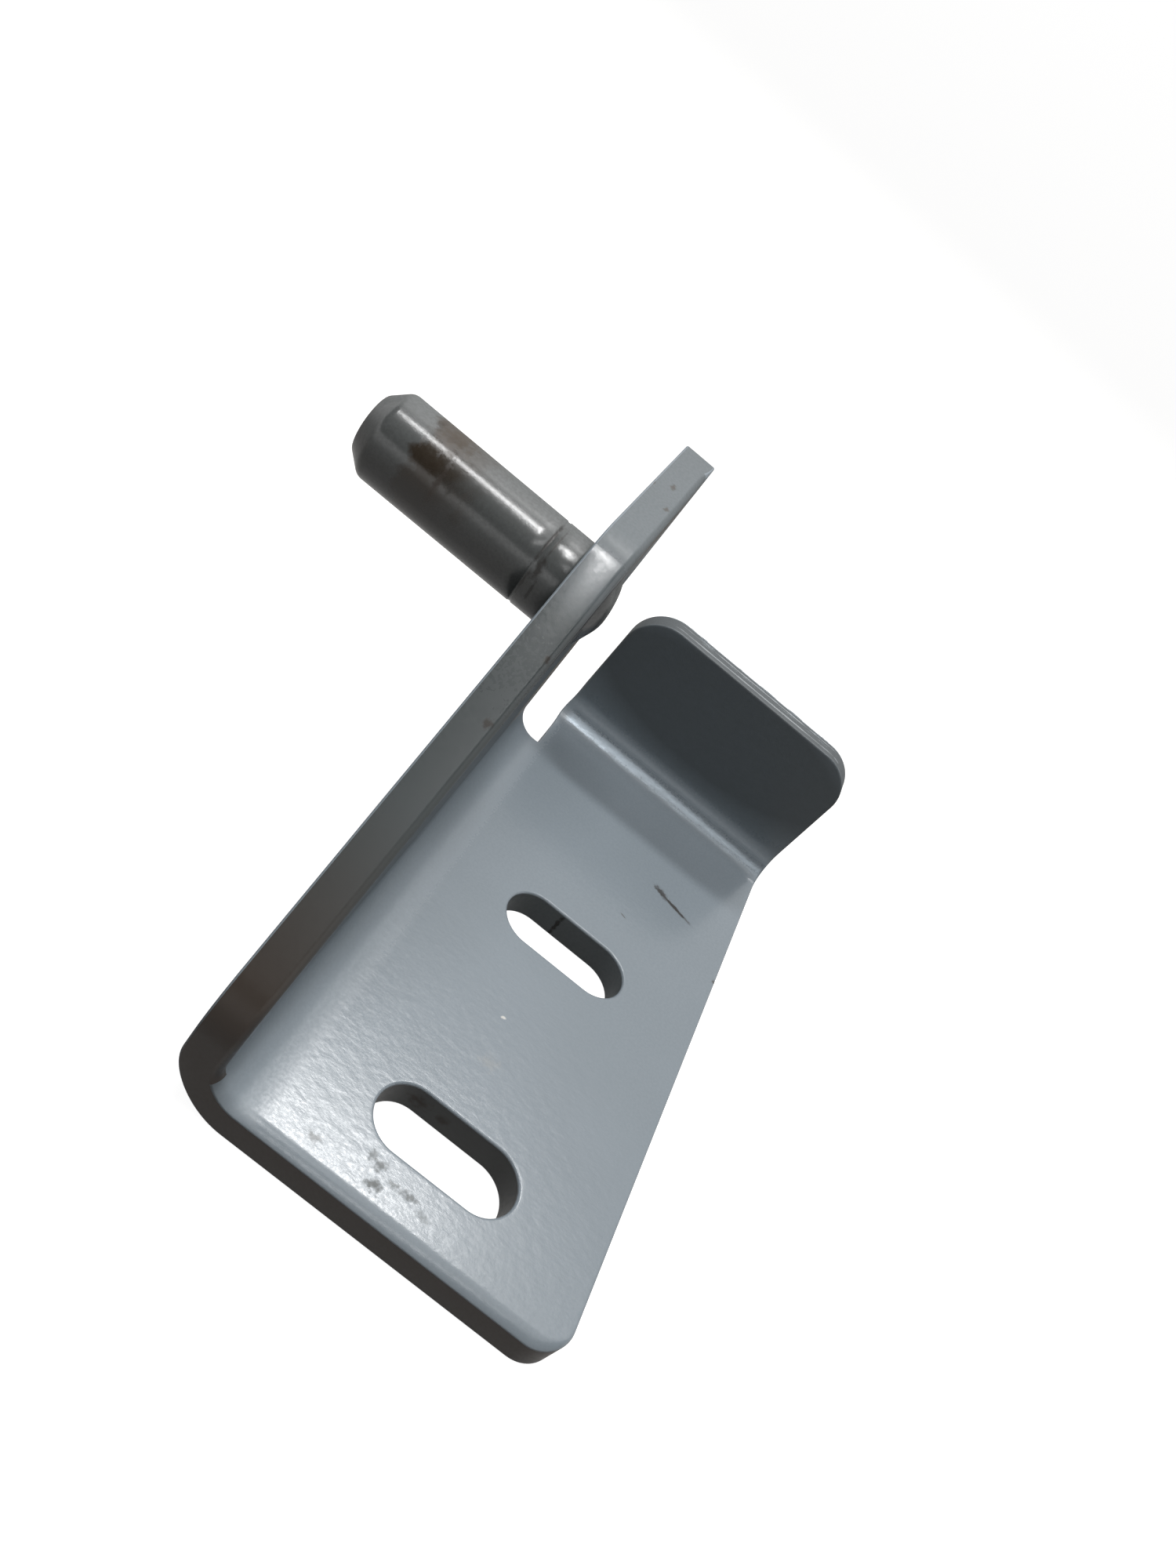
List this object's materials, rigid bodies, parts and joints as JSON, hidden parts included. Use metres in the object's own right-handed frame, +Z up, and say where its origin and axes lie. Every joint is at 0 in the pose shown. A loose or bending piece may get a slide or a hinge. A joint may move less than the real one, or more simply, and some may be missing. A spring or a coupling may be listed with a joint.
{
  "type": "mounting bracket",
  "caption": "Thick folded-plate mounting bracket: slotted flat base, side flange with a raised ear that carries a round pivot pin, and a round-cornered rear tab.",
  "frame": {"origin": "middle between the two fixing slots, on the underside of the base", "axes": "+X from the front edge to the rear tab, +Y to the flange side, along the slots and out along the pin, +Z up from the base"},
  "size_m": [0.1097, 0.086, 0.0598],
  "materials": {
    "plate_paint": "satin silver-grey paint over steel plate, lightly marked",
    "pin_steel": "worn grey steel with brown grime"
  },
  "bodies": {
    "root": {"folded_plate": "plate_paint", "pivot_pin": "pin_steel"}
  },
  "joints": []
}
